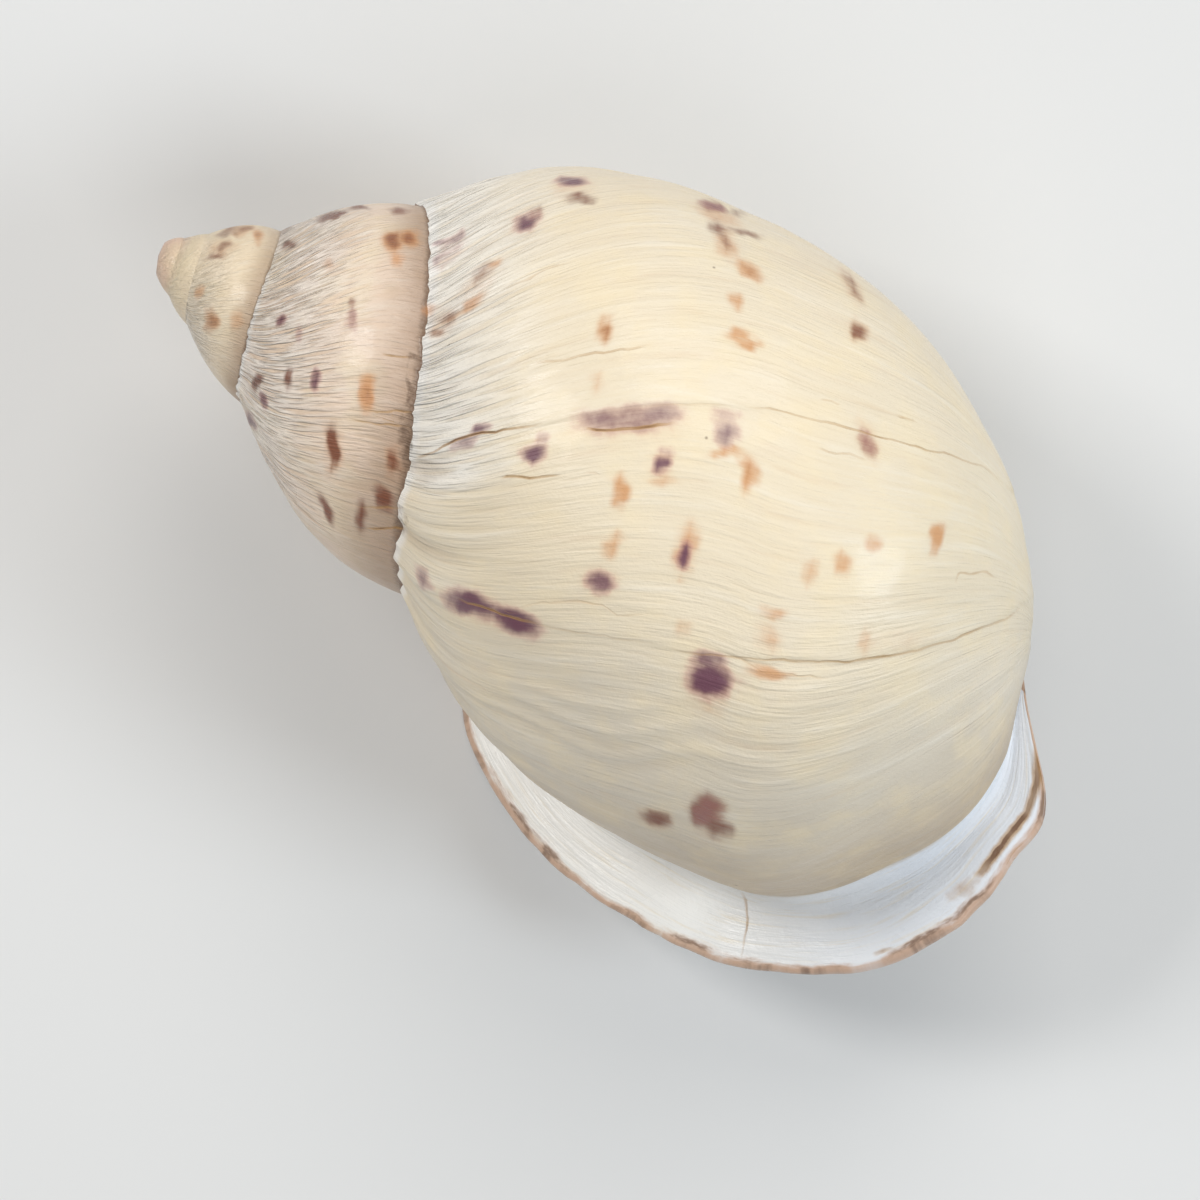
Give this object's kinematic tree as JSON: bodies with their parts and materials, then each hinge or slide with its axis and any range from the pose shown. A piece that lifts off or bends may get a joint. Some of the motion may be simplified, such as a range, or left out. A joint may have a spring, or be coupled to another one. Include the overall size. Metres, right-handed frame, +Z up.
{
  "type": "land snail shell",
  "caption": "Empty right-handed land snail shell lying on its mouth: low conical spire, swollen last whorl, wide flared white lip, open hollow underneath.",
  "frame": {"origin": "on the ground, under the middle of the shell's box as it lies on its mouth", "axes": "+X along the coiling axis from the apex towards the base, +Y away from the lip, +Z up through the back of the shell"},
  "size_m": [0.0766, 0.0516, 0.0403],
  "materials": {
    "shell": "cream to tan lime shell with brown and violet spots, satin, glossier near the apex"
  },
  "bodies": {
    "root": {"shell": "shell"}
  },
  "joints": []
}
